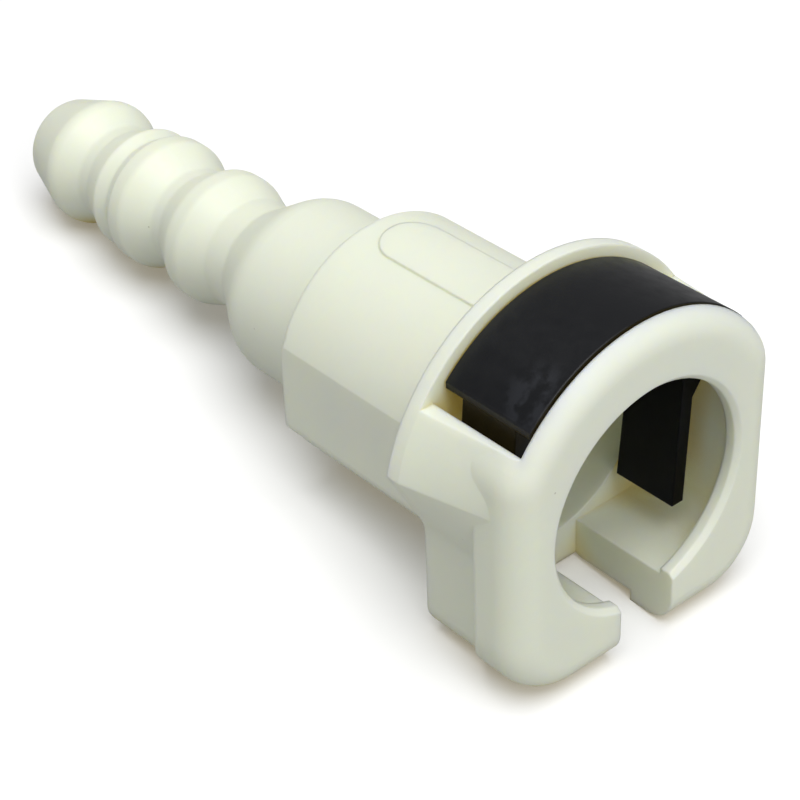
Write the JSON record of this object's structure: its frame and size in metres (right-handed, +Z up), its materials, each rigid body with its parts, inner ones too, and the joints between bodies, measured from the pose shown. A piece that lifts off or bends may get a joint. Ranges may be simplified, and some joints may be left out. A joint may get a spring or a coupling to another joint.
{
  "type": "quick connect hose coupling",
  "caption": "Moulded quick connect coupling with a press-to-release retainer clip in its head and a barbed hose stem.",
  "frame": {"origin": "on the surface it lies on, under the middle of its bounding box", "axes": "+X lengthwise towards the mouth, +Y across, +Z up; the flow axis rises towards the mouth by about 6 degrees"},
  "size_m": [0.0574, 0.0228, 0.0216],
  "materials": {
    "body_nylon": "natural ivory moulded nylon, fine satin surface",
    "clip_nylon": "black moulded nylon, faintly grained satin surface",
    "seal_rubber": "moulded rubber, lightly oiled",
    "ring_nylon": "natural moulded nylon"
  },
  "bodies": {
    "body": {"coupling_body": "body_nylon", "front_oring": "seal_rubber", "rear_oring": "seal_rubber", "spacer_ring": "ring_nylon", "seal_bushing": "ring_nylon"},
    "clip": {"retainer_clip": "clip_nylon"}
  },
  "joints": [
    {"name": "clip_press", "type": "slide", "parent": "body", "child": "clip", "axis": [0.1204, 0, -0.9927], "range_m": [0, 0.00065], "stiffness_N_per_m": 6000}
  ]
}
